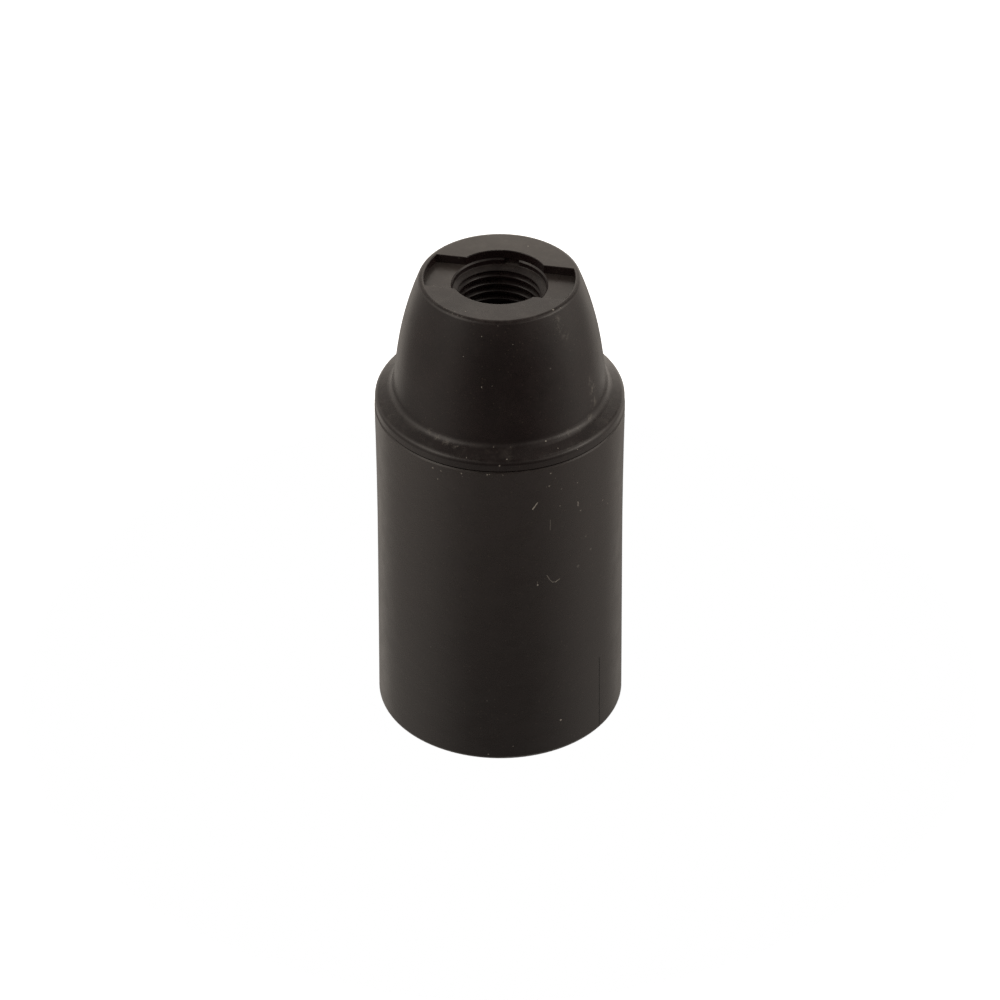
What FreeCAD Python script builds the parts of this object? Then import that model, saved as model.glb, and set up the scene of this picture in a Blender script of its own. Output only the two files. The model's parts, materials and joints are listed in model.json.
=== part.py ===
"""Three-piece lamp holder for a small Edison screw lamp, standing on its mouth.

Frame: millimetres, +Z up along the holder's axis, origin at the centre of the
mouth rim.  The domed cap carries the threaded cord entry at the top, the plain
shell carries the lamp thread and opens downwards, and a ceramic terminal block
with its contacts is clamped between the two.
"""
import FreeCAD, Part
import Sketcher
import math
import os
from FreeCAD import Placement, Rotation, Vector

doc = FreeCAD.newDocument("lamp_holder")

# ---------------------------------------------------------------- dimensions
sheet = doc.addObject("Spreadsheet::Sheet", "dims")
sheet.Label = "dims"

CELLS = [
    # outside of the cap
    ("top_level", 56.4, "top face of the cap"),
    ("entry_floor", 55.4, "floor of the slot across the top"),
    ("entry_mouth_rad", 5.36, "smooth mouth of the cord entry"),
    ("entry_step_rad", 5.2, "smooth wall below the slot's floor"),
    ("entry_step", 54.72, "its lower end"),
    ("entry_rad", 5.0, "cord entry bore, major radius of M10 x 1"),
    ("entry_lead", 54.52, "where the entry bore reaches its own radius"),
    ("entry_low", 46.4, "lower end of the entry bore"),
    ("neck_low", 46.0, "underside of the neck around the entry"),
    ("neck_rad", 7.2, "outside of the neck"),
    ("neck_root_rad", 7.4, "neck where it joins the dome"),
    ("core_out_top", 52.3, "top of the ring cavity round the neck"),
    ("core_out_rad", 8.2, "outer radius of the ring cavity at its top"),
    ("dome_in_mid_rad", 9.4, "inside of the dome at mid height"),
    ("dome_in_mid", 46.5, "its level"),
    ("dome_in_low_rad", 10.0, "inside of the dome at the shoulder"),
    ("dome_in_low", 42.4, "its level"),
    ("dome_top_rad", 8.86, "dome at the top face, before rounding"),
    ("dome_curve", 40.0, "radius of the dome's upper curve"),
    ("dome_mid_rad", 11.335, "dome where the curve begins"),
    ("dome_mid", 47.0, "its level"),
    ("dome_foot_rad", 12.0, "foot of the dome"),
    ("dome_foot", 42.1, "its level"),
    ("collar_rad", 13.9, "collar of the cap"),
    ("collar_top", 41.264, "collar's upper edge, before rounding"),
    ("seam", 39.98, "underside of the collar"),
    ("seam_break", 0.15, "small chamfer at the seam"),
    ("skirt_rad", 11.9, "threaded skirt of the cap, root radius"),
    ("skirt_in_rad", 10.6, "inside of the skirt"),
    ("skirt_low", 32.0, "lower end of the skirt"),
    ("skirt_break", 0.3, "lead-in on the skirt"),
    ("skirt_in_top", 41.6, "upper end of the skirt's inside"),
    ("round_top", 0.5, "rounding of the top edge"),
    ("round_collar", 0.65, "rounding of the collar"),
    ("round_foot", 1.05, "hollow rounding at the foot of the dome"),
    # slot across the top
    ("slot_half", 3.15, "half width of the slot"),
    ("slot_end_rad", 8.3, "radius of the slot's closed ends"),
    ("round_slot", 0.08, "easing of the slot's and the mouth's upper edges"),
    ("slot_turn", -11.0, "direction of the slot about the axis"),
    ("thread_gap_turn", 75.0, "where the entry thread is notched"),
    ("thread_gap_wide", 1.7, "width of that notch"),
    ("thread_gap_deep", 0.68, "depth of that notch below the slot's floor"),
    # keys between cap and terminal block
    ("key_in_rad", 9.7, "inner face of a key"),
    ("key_wide", 1.6, "key's width"),
    ("key_top", 41.0, "upper end of a key"),
    ("groove_in_rad", 9.45, "bottom of a key groove"),
    ("groove_wide", 2.1, "groove's width"),
    # shell
    ("shell_foot_rad", 14.0, "shell at the mouth"),
    ("shell_mid_rad", 13.86, "shell where its curve begins"),
    ("shell_mid", 20.0, "its level"),
    ("shell_curve", 839.4, "radius of the shell's slight waist"),
    ("shell_top_rad", 13.955, "shell at the seam"),
    ("shell_top", 39.93, "upper rim of the shell"),
    ("mouth_in_rad", 12.1, "inside of the mouth"),
    ("mouth_lip", 12.5, "mouth's inner edge, broken"),
    ("mouth_lip_up", 0.5, "height of that break"),
    ("wall_in_rad", 11.9, "inside of the outer wall beside the web"),
    ("web_low", 22.5, "underside of the web"),
    ("web_high", 25.0, "upper side of the web, seat of the block"),
    ("tube_rad", 8.6, "outside of the lamp thread's tube"),
    ("tube_low", 8.5, "lower end of that tube"),
    ("tube_in_rad", 6.185, "lamp thread, minor radius at its crests"),
    ("tube_lead_rad", 7.5, "lead-in of the lamp thread"),
    ("tube_lead", 9.1, "upper end of the lead-in"),
    ("relief_rad", 7.7, "smooth bore above the lamp thread"),
    ("relief_low", 18.6, "its lower end"),
    ("relief_cone", 19.6, "upper end of the cone between"),
    ("chamber_rad", 12.4, "upper chamber, thread root radius"),
    ("rim_low", 39.4, "lead-in at the upper rim"),
    ("rim_rad", 12.9, "its radius"),
    ("round_mouth", 0.4, "rounding of the mouth's outer edge"),
    ("rib_thick", 1.2, "ribs between tube and wall"),
    ("rib_low", 11.0, "lower end of the ribs"),
    ("lamp_pitch", 2.822, "pitch of the lamp thread"),
    ("lamp_major_rad", 6.985, "lamp thread, major radius"),
    ("lamp_round", 0.822, "rounding of its crests"),
    ("lamp_start", 10.3, "where the thread starts"),
    ("lamp_run", 7.2, "height of the thread run"),
    # terminal block
    ("block_low", 25.05, "underside of the block"),
    ("block_rad", 12.05, "flange of the block"),
    ("block_flange", 31.9, "upper side of the flange"),
    ("block_up_rad", 10.2, "upper part of the block"),
    ("block_deck", 34.0, "deck that the terminals stand on"),
    ("recess_rad", 8.6, "recess in the underside"),
    ("recess_top", 27.5, "its ceiling"),
    ("barrier_half", 0.8, "half thickness of the barrier"),
    ("barrier_top", 38.4, "top of the barrier"),
    ("barrier_span", 9.3, "half length of the barrier"),
    ("block_break", 0.4, "broken edges of the block"),
    # terminals: live on -X, neutral turned half a turn
    ("term_across", 5.0, "terminal centre from the axis"),
    ("screw_along", -2.4, "screw from the terminal's centre line"),
    ("rivet_across", 4.6, "rivet from the axis, across"),
    ("rivet_along", 3.4, "rivet from the axis, along"),
    ("plate_thick", 1.2, "terminal plate"),
    ("plate_wide", 5.8, "its width"),
    ("plate_low_end", -5.4, "its screw end"),
    ("plate_high_end", 5.6, "its rivet end"),
    ("plate_screw_hole", 1.55, "tapped hole of the plate"),
    ("plate_rivet_hole", 1.3, "rivet hole of the plate"),
    ("screw_pit_rad", 1.8, "clearance hole in the block"),
    ("screw_pit_low", 29.4, "its bottom"),
    ("rivet_hole_rad", 1.35, "rivet hole of the block"),
    ("washer_half", 2.8, "half the clamp washer's side"),
    ("washer_thick", 0.8, "clamp washer"),
    ("washer_hole", 1.7, "its hole"),
    ("washer_gap", 0.02, "clearance under and over the washer"),
    ("screw_rad", 1.45, "screw's shank"),
    ("screw_long", 6.0, "shank's length"),
    ("head_rad", 2.7, "screw head"),
    ("head_high", 1.9, "its height"),
    ("drive_wide", 0.7, "screwdriver slot"),
    ("drive_deep", 0.9, "its depth"),
    ("rivet_rad", 1.25, "rivet's shank"),
    ("rivet_head_rad", 1.9, "rivet's head"),
    ("rivet_head_high", 0.6, "its height"),
    # contact strips
    ("strip_thick", 0.4, "contact strip"),
    ("centre_strip_wide", 4.0, "width of the centre contact"),
    ("side_strip_wide", 3.4, "width of the side contact's tab"),
    ("tongue_level", 24.35, "lowest face of the centre contact"),
]
for row, (alias, value, note) in enumerate(CELLS, start=1):
    sheet.set("A%d" % row, note)
    sheet.set("B%d" % row, "%g" % value)
    sheet.setAlias("B%d" % row, alias)
doc.recompute()


class Dim(object):
    """A length that carries its number and the expression that yields it."""

    def __init__(self, value, text):
        self.value = float(value)
        self.text = text

    def __add__(self, other):
        other = as_dim(other)
        return Dim(self.value + other.value, "(%s + %s)" % (self.text, other.text))

    def __sub__(self, other):
        other = as_dim(other)
        return Dim(self.value - other.value, "(%s - %s)" % (self.text, other.text))

    def __mul__(self, other):
        other = as_dim(other)
        return Dim(self.value * other.value, "(%s * %s)" % (self.text, other.text))

    def __neg__(self):
        return Dim(-self.value, "(0 - %s)" % self.text)


def as_dim(item):
    if isinstance(item, Dim):
        return item
    return Dim(item, repr(float(item)))


def cell(alias):
    return Dim(sheet.get(alias), "dims." + alias)


def bind(obj, prop, item):
    obj.setExpression(prop, as_dim(item).text)


def new_body(label):
    body = doc.addObject("PartDesign::Body", label)
    body.Label = label
    return body


def new_sketch(body, name, role="XY_Plane", level=None, turn=None):
    """A sketch on one of the body's own origin planes, raised by level along
    the plane's normal and turned about it."""
    sk = body.newObject("Sketcher::SketchObject", name)
    plane = [f for f in body.Origin.OriginFeatures if f.Role == role][0]
    sk.AttachmentSupport = [(plane, "")]
    sk.MapMode = "FlatFace"
    lift = as_dim(level if level is not None else 0.0)
    spin = as_dim(turn if turn is not None else 0.0)
    sk.AttachmentOffset = Placement(Vector(0, 0, lift.value),
                                    Rotation(Vector(0, 0, 1), spin.value))
    if level is not None:
        bind(sk, ".AttachmentOffset.Base.z", lift)
    if turn is not None:
        bind(sk, ".AttachmentOffset.Rotation.Angle", spin)
    return sk


def pos_of(sk, geo, point):
    """Which end of a curve lies at the point: 1 start, 2 end."""
    a = sk.getPoint(geo, 1)
    b = sk.getPoint(geo, 2)
    return 1 if (a - point).Length <= (b - point).Length else 2


def outline(sk, points, arcs=None):
    """Closed outline through points given as (Dim, Dim).  arcs maps the index
    of a segment to (radius, side): side +1 bulges to the right of travel."""
    arcs = arcs or {}
    pts = [(as_dim(u), as_dim(v)) for u, v in points]
    vec = [Vector(u.value, v.value, 0) for u, v in pts]
    count = len(pts)
    base = sk.GeometryCount
    for i in range(count):
        a, b = vec[i], vec[(i + 1) % count]
        if i in arcs:
            radius, side = as_dim(arcs[i][0]), arcs[i][1]
            chord = b - a
            half = chord.Length / 2.0
            rise = radius.value - math.sqrt(max(radius.value ** 2 - half ** 2, 0.0))
            right = Vector(chord.y, -chord.x, 0)
            right.normalize()
            mid = (a + b) * 0.5 + right * (rise * side)
            sk.addGeometry(Part.Arc(a, mid, b), False)
        else:
            sk.addGeometry(Part.LineSegment(a, b), False)
    for i in range(count):
        j = (i + 1) % count
        sk.addConstraint(Sketcher.Constraint(
            "Coincident", base + i, pos_of(sk, base + i, vec[j]),
            base + j, pos_of(sk, base + j, vec[j])))
    for i in range(count):
        geo = base + i
        end = pos_of(sk, geo, vec[i])
        for kind, item in (("DistanceX", pts[i][0]), ("DistanceY", pts[i][1])):
            if abs(item.value) < 1e-9:
                axis = -2 if kind == "DistanceX" else -1
                sk.addConstraint(Sketcher.Constraint("PointOnObject", geo, end, axis))
                continue
            n = sk.addConstraint(Sketcher.Constraint(kind, -1, 1, geo, end, item.value))
            sk.setExpression("Constraints[%d]" % n, item.text)
    for i in arcs:
        radius = as_dim(arcs[i][0])
        n = sk.addConstraint(Sketcher.Constraint("Radius", base + i, radius.value))
        sk.setExpression("Constraints[%d]" % n, radius.text)
    return sk


def circle(sk, u, v, radius):
    u, v, radius = as_dim(u), as_dim(v), as_dim(radius)
    geo = sk.addGeometry(Part.Circle(Vector(u.value, v.value, 0),
                                     Vector(0, 0, 1), radius.value), False)
    n = sk.addConstraint(Sketcher.Constraint("Radius", geo, radius.value))
    sk.setExpression("Constraints[%d]" % n, radius.text)
    for kind, item in (("DistanceX", u), ("DistanceY", v)):
        if abs(item.value) < 1e-9:
            axis = -2 if kind == "DistanceX" else -1
            sk.addConstraint(Sketcher.Constraint("PointOnObject", geo, 3, axis))
        else:
            n = sk.addConstraint(Sketcher.Constraint(kind, -1, 1, geo, 3, item.value))
            sk.setExpression("Constraints[%d]" % n, item.text)
    return sk


def revolve(body, name, sk):
    feat = body.newObject("PartDesign::Revolution", name)
    feat.Profile = sk
    feat.ReferenceAxis = (sk, ["V_Axis"])
    feat.Angle = 360.0
    doc.recompute()
    return feat


def pad(body, name, sk, length, both=False, back=False):
    feat = body.newObject("PartDesign::Pad", name)
    feat.Profile = sk
    bind(feat, "Length", length)
    if both:
        feat.SideType = "Symmetric"
    feat.Reversed = back
    doc.recompute()
    return feat


def cut(body, name, sk, length, both=False, back=False):
    """Pocket that must really remove material."""
    before = body.Shape.Volume
    feat = body.newObject("PartDesign::Pocket", name)
    feat.Profile = sk
    bind(feat, "Length", length)
    if both:
        feat.SideType = "Symmetric"
    feat.Reversed = back
    doc.recompute()
    if not body.Shape.Volume < before - 1e-4:
        raise RuntimeError("%s removes nothing" % name)
    return feat


def edges_where(shape, test):
    return ["Edge%d" % (i + 1) for i, e in enumerate(shape.Edges) if test(e)]


def ring_at(level, radius, tol=0.02):
    """Test for a full circular edge at a level with a radius."""
    def test(edge):
        curve = edge.Curve
        return (isinstance(curve, Part.Circle)
                and abs(curve.Center.z - level.value) < tol
                and abs(curve.Radius - radius.value) < tol)
    return test


def soften(body, name, base, edges, size, kind="Fillet"):
    if not edges:
        raise RuntimeError("%s finds no edge" % name)
    feat = body.newObject("PartDesign::" + kind, name)
    feat.Base = (base, edges)
    bind(feat, "Radius" if kind == "Fillet" else "Size", size)
    doc.recompute()
    return feat


def polar(body, name, feature, sk, times):
    feat = body.newObject("PartDesign::PolarPattern", name)
    feat.Originals = [feature]
    feat.Axis = (sk, ["N_Axis"])
    feat.Angle = 360.0
    feat.Occurrences = times
    body.Tip = feat
    doc.recompute()
    return feat


D = dict((alias, cell(alias)) for alias, _, _ in CELLS)

# ----------------------------------------------------------------------- cap
cap = new_body("cap")
sk = new_sketch(cap, "cap_section", "XZ_Plane")
outline(sk, [
    (D["skirt_in_rad"], D["skirt_low"]),
    (D["skirt_rad"] - D["skirt_break"], D["skirt_low"]),
    (D["skirt_rad"], D["skirt_low"] + D["skirt_break"]),
    (D["skirt_rad"], D["seam"]),
    (D["collar_rad"] - D["seam_break"], D["seam"]),
    (D["collar_rad"], D["seam"] + D["seam_break"]),
    (D["collar_rad"], D["collar_top"]),
    (D["dome_foot_rad"], D["dome_foot"]),
    (D["dome_mid_rad"], D["dome_mid"]),
    (D["dome_top_rad"], D["top_level"]),
    (D["entry_mouth_rad"], D["top_level"]),
    (D["entry_mouth_rad"], D["entry_floor"]),
    (D["entry_step_rad"], D["entry_floor"] - (D["entry_mouth_rad"] - D["entry_step_rad"])),
    (D["entry_step_rad"], D["entry_step"]),
    (D["entry_rad"], D["entry_lead"]),
    (D["entry_rad"], D["entry_low"]),
    (D["entry_rad"] + 0.4, D["neck_low"]),
    (D["neck_rad"], D["neck_low"]),
    (D["neck_root_rad"], D["core_out_top"]),
    (D["core_out_rad"], D["core_out_top"]),
    (D["dome_in_mid_rad"], D["dome_in_mid"]),
    (D["dome_in_low_rad"], D["dome_in_low"]),
    (D["skirt_in_rad"], D["skirt_in_top"]),
], {8: (D["dome_curve"], 1)})
cap_turn = revolve(cap, "cap_turned", sk)

cap_top_round = soften(cap, "cap_top_round", cap_turn,
                       edges_where(cap_turn.Shape, ring_at(D["top_level"], D["dome_top_rad"])),
                       D["round_top"])
cap_collar_round = soften(cap, "cap_collar_round", cap_top_round,
                          edges_where(cap_top_round.Shape,
                                      ring_at(D["collar_top"], D["collar_rad"])),
                          D["round_collar"])
cap_foot_round = soften(cap, "cap_foot_round", cap_collar_round,
                        edges_where(cap_collar_round.Shape,
                                    ring_at(D["dome_foot"], D["dome_foot_rad"])),
                        D["round_foot"])

# slot across the top, closed at both ends by the rim
sk = new_sketch(cap, "slot_outline", "XY_Plane", D["top_level"], D["slot_turn"])
reach = math.sqrt(D["slot_end_rad"].value ** 2 - D["slot_half"].value ** 2)
reach = Dim(reach, "sqrt(dims.slot_end_rad * dims.slot_end_rad - dims.slot_half * dims.slot_half)")
outline(sk, [
    (-reach, -D["slot_half"]),
    (reach, -D["slot_half"]),
    (reach, D["slot_half"]),
    (-reach, D["slot_half"]),
], {1: (D["slot_end_rad"], 1), 3: (D["slot_end_rad"], 1)})
cap_slot = cut(cap, "slot", sk, D["top_level"] - D["entry_floor"])


# eased edges of the slot and of the entry's mouth
def top_edge(edge):
    return all(abs(v.Z - D["top_level"].value) < 1e-4
               and math.hypot(v.X, v.Y) < D["slot_end_rad"].value + 0.05
               for v in edge.Vertexes)


cap_slot_ease = soften(cap, "cap_slot_ease", cap_slot,
                       edges_where(cap_slot.Shape, top_edge), D["round_slot"])

# notch at the start of the entry thread
sk = new_sketch(cap, "thread_gap_outline", "XY_Plane", D["entry_floor"], D["thread_gap_turn"])
outline(sk, [
    (4.0, -(D["thread_gap_wide"] * 0.5)),
    (D["entry_mouth_rad"] + 0.18, -(D["thread_gap_wide"] * 0.5)),
    (D["entry_mouth_rad"] + 0.18, D["thread_gap_wide"] * 0.5),
    (4.0, D["thread_gap_wide"] * 0.5),
])
cut(cap, "thread_gap", sk, D["thread_gap_deep"])

# two keys inside the skirt
sk = new_sketch(cap, "key_outline", "XY_Plane", D["skirt_low"] + 0.3)
outline(sk, [
    (-(D["key_wide"] * 0.5), D["key_in_rad"]),
    (D["key_wide"] * 0.5, D["key_in_rad"]),
    (D["key_wide"] * 0.5, D["skirt_in_rad"] + 0.3),
    (-(D["key_wide"] * 0.5), D["skirt_in_rad"] + 0.3),
])
key = pad(cap, "key", sk, D["key_top"] - (D["skirt_low"] + 0.3))
polar(cap, "keys", key, sk, 2)

# --------------------------------------------------------------------- shell
shell = new_body("shell")
sk = new_sketch(shell, "shell_section", "XZ_Plane")
outline(sk, [
    (D["mouth_lip"], 0.0),
    (D["shell_foot_rad"], 0.0),
    (D["shell_mid_rad"], D["shell_mid"]),
    (D["shell_top_rad"], D["shell_top"] - D["seam_break"]),
    (D["shell_top_rad"] - D["seam_break"], D["shell_top"]),
    (D["rim_rad"], D["shell_top"]),
    (D["chamber_rad"], D["rim_low"]),
    (D["chamber_rad"], D["web_high"]),
    (D["relief_rad"], D["web_high"]),
    (D["relief_rad"], D["relief_cone"]),
    (D["lamp_major_rad"], D["relief_low"]),
    (D["lamp_major_rad"], D["tube_lead"]),
    (D["tube_lead_rad"], D["tube_low"]),
    (D["tube_rad"], D["tube_low"]),
    (D["tube_rad"], D["web_low"]),
    (D["wall_in_rad"], D["web_low"]),
    (D["mouth_in_rad"], D["mouth_lip_up"]),
], {2: (D["shell_curve"], -1)})
shell_turn = revolve(shell, "shell_turned", sk)
shell_mouth_round = soften(shell, "shell_mouth_round", shell_turn,
                           edges_where(shell_turn.Shape,
                                       ring_at(as_dim(0.0), D["shell_foot_rad"])),
                           D["round_mouth"])

# ribs between the tube and the outer wall
sk = new_sketch(shell, "rib_outline", "XY_Plane", D["rib_low"])
outline(sk, [
    (D["tube_rad"] - 0.4, -(D["rib_thick"] * 0.5)),
    (D["wall_in_rad"] + 0.6, -(D["rib_thick"] * 0.5)),
    (D["wall_in_rad"] + 0.6, D["rib_thick"] * 0.5),
    (D["tube_rad"] - 0.4, D["rib_thick"] * 0.5),
])
rib = pad(shell, "rib", sk, D["web_low"] + 0.3 - D["rib_low"])
polar(shell, "ribs", rib, sk, 4)

# lamp thread: one rounded rib wound up the bore
sk = new_sketch(shell, "lamp_thread_section", "XZ_Plane")
level = D["lamp_start"]
flank_up = D["lamp_pitch"] * 0.25
flank_rad = (D["lamp_major_rad"] + D["tube_in_rad"]) * 0.5
root_rad = D["lamp_major_rad"] + 0.315
root_up = flank_up + 0.4275
outline(sk, [
    (root_rad, level - root_up),
    (flank_rad, level - flank_up),
    (flank_rad, level + flank_up),
    (root_rad, level + root_up),
], {1: (D["lamp_round"], -1)})
before = shell.Shape.Volume
thread = shell.newObject("PartDesign::AdditiveHelix", "lamp_thread")
thread.Profile = sk
thread.ReferenceAxis = (sk, ["V_Axis"])
thread.Mode = "pitch-height-angle"
bind(thread, "Pitch", D["lamp_pitch"])
bind(thread, "Height", D["lamp_run"])
thread.LeftHanded = False
thread.Reversed = False
doc.recompute()
gain = shell.Shape.Volume - before
if not 60.0 < gain < 200.0:
    raise RuntimeError("the lamp thread adds %.1f mm3" % gain)

# ------------------------------------------------------------ terminal block
block = new_body("terminal_block")
sk = new_sketch(block, "block_section", "XZ_Plane")
outline(sk, [
    (0.0, D["recess_top"]),
    (D["recess_rad"], D["recess_top"]),
    (D["recess_rad"], D["block_low"]),
    (D["block_rad"], D["block_low"]),
    (D["block_rad"], D["block_flange"]),
    (D["block_up_rad"], D["block_flange"]),
    (D["block_up_rad"], D["block_deck"]),
    (0.0, D["block_deck"]),
])
block_turn = revolve(block, "block_turned", sk)
soften(block, "block_edges", block_turn,
       edges_where(block_turn.Shape, ring_at(D["block_low"], D["block_rad"]))
       + edges_where(block_turn.Shape, ring_at(D["block_flange"], D["block_rad"])),
       D["block_break"], "Chamfer")

sk = new_sketch(block, "barrier_outline", "XY_Plane", D["block_deck"] - 0.5)
outline(sk, [
    (-D["barrier_half"], -D["barrier_span"]),
    (D["barrier_half"], -D["barrier_span"]),
    (D["barrier_half"], D["barrier_span"]),
    (-D["barrier_half"], D["barrier_span"]),
])
pad(block, "barrier", sk, D["barrier_top"] - D["block_deck"] + 0.5)

sk = new_sketch(block, "groove_outline", "XY_Plane", D["barrier_top"] + 1.0)
outline(sk, [
    (-(D["groove_wide"] * 0.5), D["groove_in_rad"]),
    (D["groove_wide"] * 0.5, D["groove_in_rad"]),
    (D["groove_wide"] * 0.5, D["block_up_rad"] + 0.5),
    (-(D["groove_wide"] * 0.5), D["block_up_rad"] + 0.5),
])
groove = cut(block, "groove", sk, D["barrier_top"] + 1.0 - D["block_flange"])
polar(block, "grooves", groove, sk, 2)

sk = new_sketch(block, "screw_pit_outline", "XY_Plane", D["block_deck"])
circle(sk, -D["term_across"], D["screw_along"], D["screw_pit_rad"])
circle(sk, D["term_across"], -D["screw_along"], D["screw_pit_rad"])
cut(block, "screw_pits", sk, D["block_deck"] - D["screw_pit_low"])

sk = new_sketch(block, "rivet_hole_outline", "XY_Plane", D["block_deck"])
circle(sk, -D["rivet_across"], D["rivet_along"], D["rivet_hole_rad"])
circle(sk, D["rivet_across"], -D["rivet_along"], D["rivet_hole_rad"])
cut(block, "rivet_holes", sk, D["block_deck"] - D["recess_top"] + 0.5)

# ----------------------------------------------------------- centre contact
# made along its own X from the rivet, then turned towards the axis
strip = D["strip_thick"]
ceiling = D["recess_top"]
tongue = D["tongue_level"]
rivet_out = math.hypot(D["rivet_across"].value, D["rivet_along"].value)
centre = new_body("centre_contact")
sk = new_sketch(centre, "centre_section", "XZ_Plane")
outline(sk, [
    (-2.0, ceiling),
    (-2.0, ceiling - strip),
    (2.05, ceiling - strip),
    (5.15, tongue),
    (6.35, tongue),
    (7.5, tongue + 0.55),
    (7.33, tongue + 0.55 + strip),
    (6.28, tongue + strip),
    (5.32, tongue + strip),
    (2.22, ceiling),
])
blank = pad(centre, "centre_strip", sk, D["centre_strip_wide"], both=True)
sk = new_sketch(centre, "centre_eye_outline", "XY_Plane", ceiling + 1.0)
circle(sk, 0.0, 0.0, D["plate_rivet_hole"])
centre_eye = cut(centre, "centre_eye", sk, strip + 1.6)
tips = edges_where(centre_eye.Shape, lambda e: e.Length < 1.2 and e.Length > 0.3
                   and e.BoundBox.ZLength > 0.2 and e.BoundBox.XMin > 7.2
                   and e.BoundBox.YLength < 0.05)
feet = edges_where(centre_eye.Shape, lambda e: abs(e.BoundBox.XMin + 2.0) < 0.01
                   and e.BoundBox.XLength < 0.01 and e.BoundBox.ZLength > 0.3
                   and e.BoundBox.YLength < 0.05)
soften(centre, "centre_ends", centre_eye, tips + feet, as_dim(1.2))
centre.Placement = Placement(
    Vector(-D["rivet_across"].value, D["rivet_along"].value, 0),
    Rotation(Vector(0, 0, 1),
             math.degrees(math.atan2(-D["rivet_along"].value, D["rivet_across"].value))))

# ------------------------------------------------------------- side contact
side = new_body("side_contact")
sk = new_sketch(side, "side_foot_outline", "XY_Plane", ceiling - strip)
outline(sk, [
    (2.7, -5.3),
    (6.55, -5.3),
    (6.55, 2.2),
    (4.2, 2.2),
    (2.7, 0.6),
])
pad(side, "side_foot", sk, strip)
sk = new_sketch(side, "side_section", "XZ_Plane", -(as_dim(0.5)))
outline(sk, [
    (5.9, ceiling),
    (5.9, ceiling - strip),
    (6.35, ceiling - strip),
    (6.6, ceiling - strip - 0.25),
    (6.62, 24.2),
    (5.95, 21.0),
    (6.5, 19.35),
    (6.88, 19.48),
    (6.37, 21.0),
    (7.04, 24.15),
    (7.02, ceiling - 0.45),
    (6.6, ceiling),
])
pad(side, "side_tab", sk, D["side_strip_wide"], both=True)
sk = new_sketch(side, "side_eye_outline", "XY_Plane", ceiling + 1.0)
circle(sk, D["rivet_across"], -D["rivet_along"], D["plate_rivet_hole"])
cut(side, "side_eye", sk, strip + 1.6)


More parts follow.
